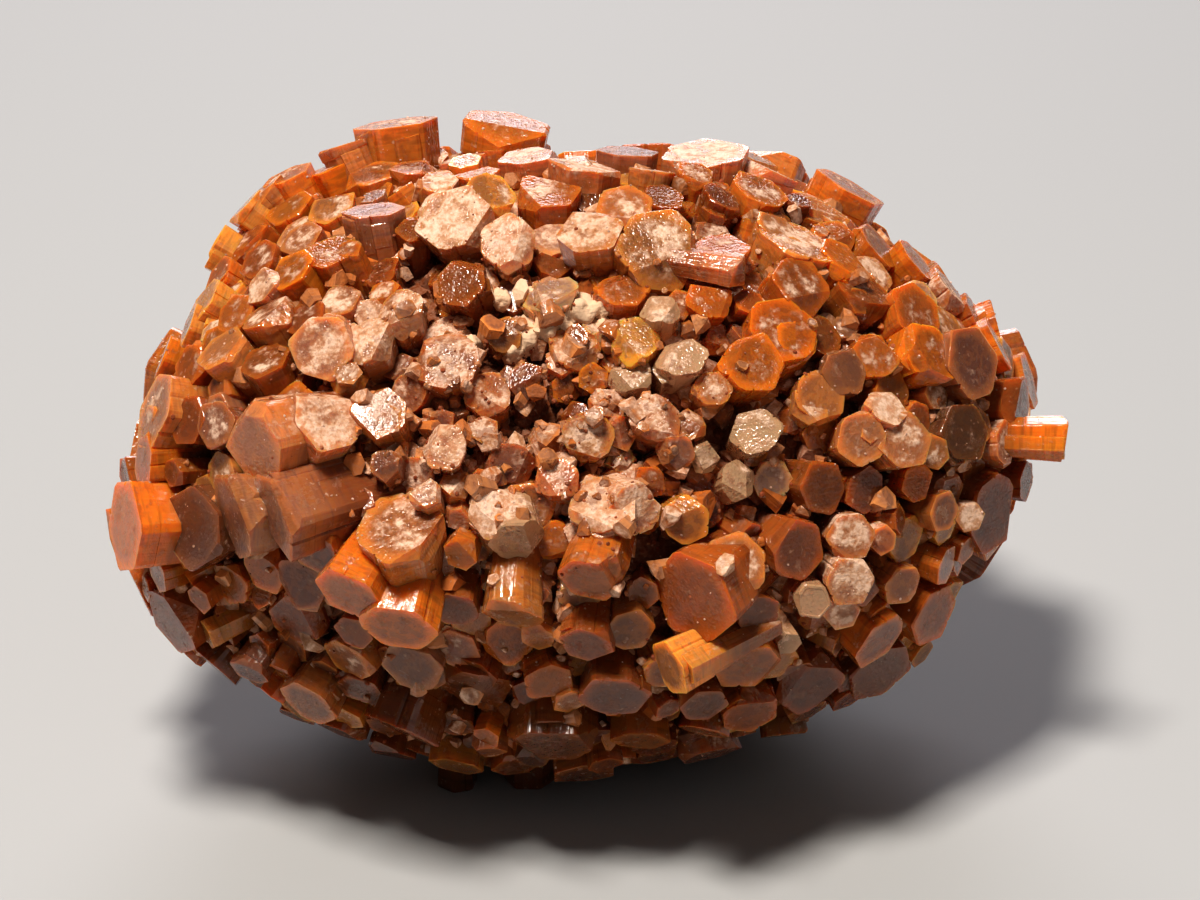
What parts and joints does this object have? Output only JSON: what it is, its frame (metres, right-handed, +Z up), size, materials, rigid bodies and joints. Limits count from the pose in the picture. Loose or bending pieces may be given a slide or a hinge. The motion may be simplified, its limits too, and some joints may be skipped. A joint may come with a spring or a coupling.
{
  "type": "aragonite crystal cluster",
  "caption": "Egg-shaped cluster of stubby six-sided aragonite prisms that grew outwards from one heart, resting on the flat ends of its lowest prisms.",
  "frame": {"origin": "on the ground, below the middle of the stone's box", "axes": "+Z up from the ground it rests on, +X along the longest way through the stone towards the end with the stub, the hollow of small crystals faces -Y"},
  "size_m": [0.0594, 0.0474, 0.0394],
  "materials": {
    "aragonite": "glossy translucent prisms with dull dusty coatings"
  },
  "bodies": {
    "root": {"aragonite_cluster": "aragonite"}
  },
  "joints": []
}
